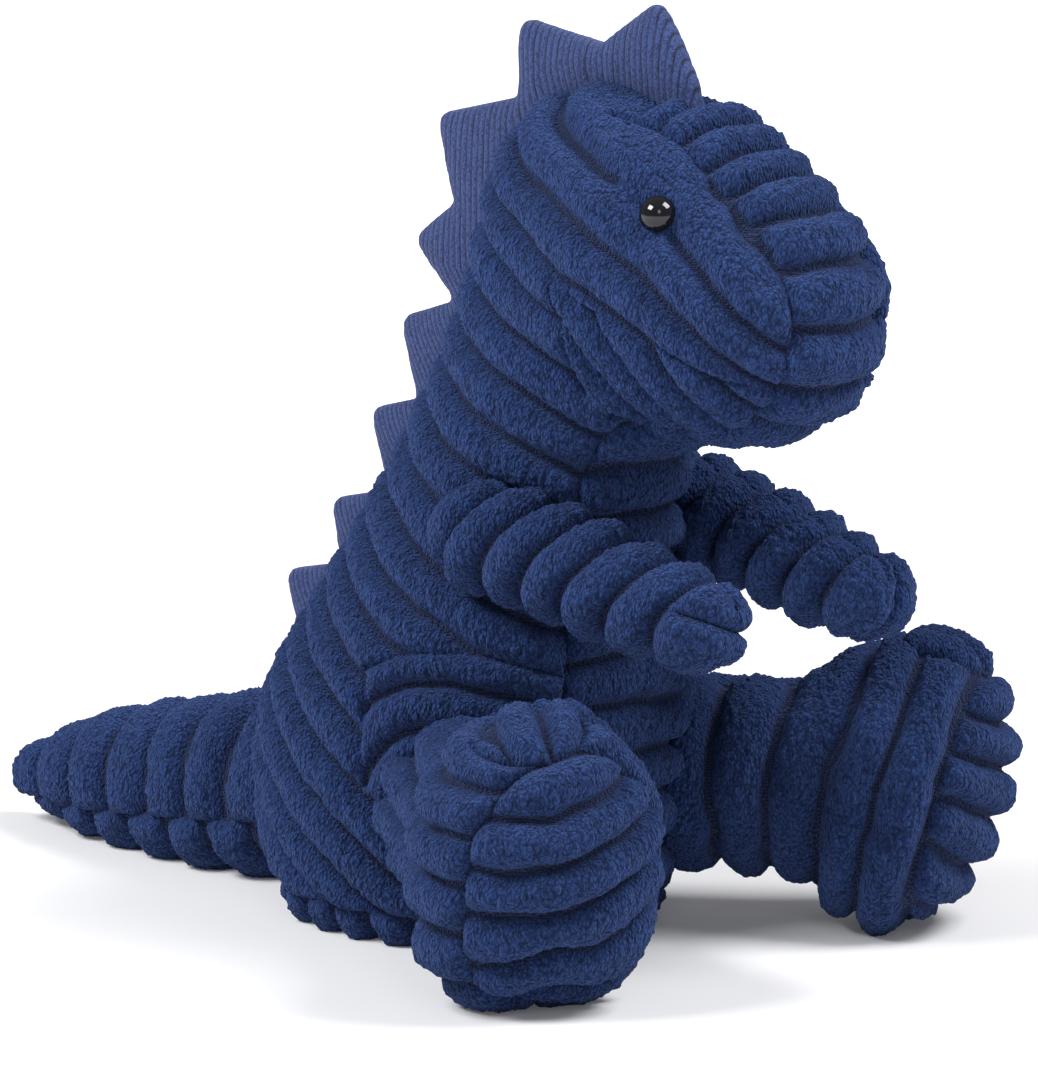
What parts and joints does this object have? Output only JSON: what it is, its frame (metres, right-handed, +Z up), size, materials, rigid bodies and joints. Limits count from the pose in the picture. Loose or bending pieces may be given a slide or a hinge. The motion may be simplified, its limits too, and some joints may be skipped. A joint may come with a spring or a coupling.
{
  "type": "stuffed dinosaur",
  "caption": "Sitting stuffed dinosaur of wide-ribbed plush with a toothed cord crest down its back, glossy eyes and sewn-on arms, legs and tail that swing at their seams",
  "frame": {"origin": "middle of the flat seat, on the surface it sits on", "axes": "faces -Y, its left is +X, up is +Z"},
  "size_m": [0.215, 0.336, 0.2644],
  "materials": {
    "rib_plush": "satin",
    "cord_cloth": "matte",
    "polyester_filling": "matte",
    "pouch_cloth": "matte",
    "eye_black": "polished",
    "washer_white": "matte"
  },
  "bodies": {
    "torso": {"side_panel_left": "rib_plush", "side_panel_right": "rib_plush", "belly_panel": "rib_plush", "seat_panel": "rib_plush", "face_gusset": "rib_plush", "body_filling": "polyester_filling", "seat_pellet_pouch": "pouch_cloth", "eye_left": "eye_black", "eye_right": "eye_black", "eye_washer_left": "washer_white", "eye_washer_right": "washer_white", "crest_face_left": "cord_cloth", "crest_face_right": "cord_cloth", "crest_wadding": "polyester_filling"},
    "arm_left": {"arm_left_outer_panel": "rib_plush", "arm_left_inner_panel": "rib_plush", "arm_left_filling": "polyester_filling"},
    "leg_left": {"leg_left_outer_panel": "rib_plush", "leg_left_inner_panel": "rib_plush", "leg_left_sole_panel": "rib_plush", "leg_left_filling": "polyester_filling"},
    "arm_right": {"arm_right_outer_panel": "rib_plush", "arm_right_inner_panel": "rib_plush", "arm_right_filling": "polyester_filling"},
    "leg_right": {"leg_right_outer_panel": "rib_plush", "leg_right_inner_panel": "rib_plush", "leg_right_sole_panel": "rib_plush", "leg_right_filling": "polyester_filling"},
    "tail": {"tail_top_panel": "rib_plush", "tail_under_panel": "rib_plush", "tail_filling": "polyester_filling"}
  },
  "joints": [
    {"name": "arm_left_raise", "type": "hinge", "parent": "torso", "child": "arm_left", "pos_m": [0.038, -0.04, 0.118], "axis": [-0.9976, 0.0698, 0], "range_deg": [-15, 26], "stiffness_Nm_per_rad": 0.06},
    {"name": "leg_left_raise", "type": "hinge", "parent": "torso", "child": "leg_left", "pos_m": [0.037, -0.032, 0.041], "axis": [-0.8572, -0.515, 0], "range_deg": [-25, 12], "stiffness_Nm_per_rad": 0.3},
    {"name": "arm_right_raise", "type": "hinge", "parent": "torso", "child": "arm_right", "pos_m": [-0.038, -0.04, 0.118], "axis": [-0.9976, -0.0698, 0], "range_deg": [-15, 26], "stiffness_Nm_per_rad": 0.06},
    {"name": "leg_right_raise", "type": "hinge", "parent": "torso", "child": "leg_right", "pos_m": [-0.037, -0.032, 0.041], "axis": [-0.8572, 0.515, 0], "range_deg": [-25, 12], "stiffness_Nm_per_rad": 0.3},
    {"name": "tail_swing", "type": "hinge", "parent": "torso", "child": "tail", "pos_m": [0, 0.05, 0.0295], "axis": [0, 0, 1], "range_deg": [-24, 24], "stiffness_Nm_per_rad": 0.2}
  ]
}
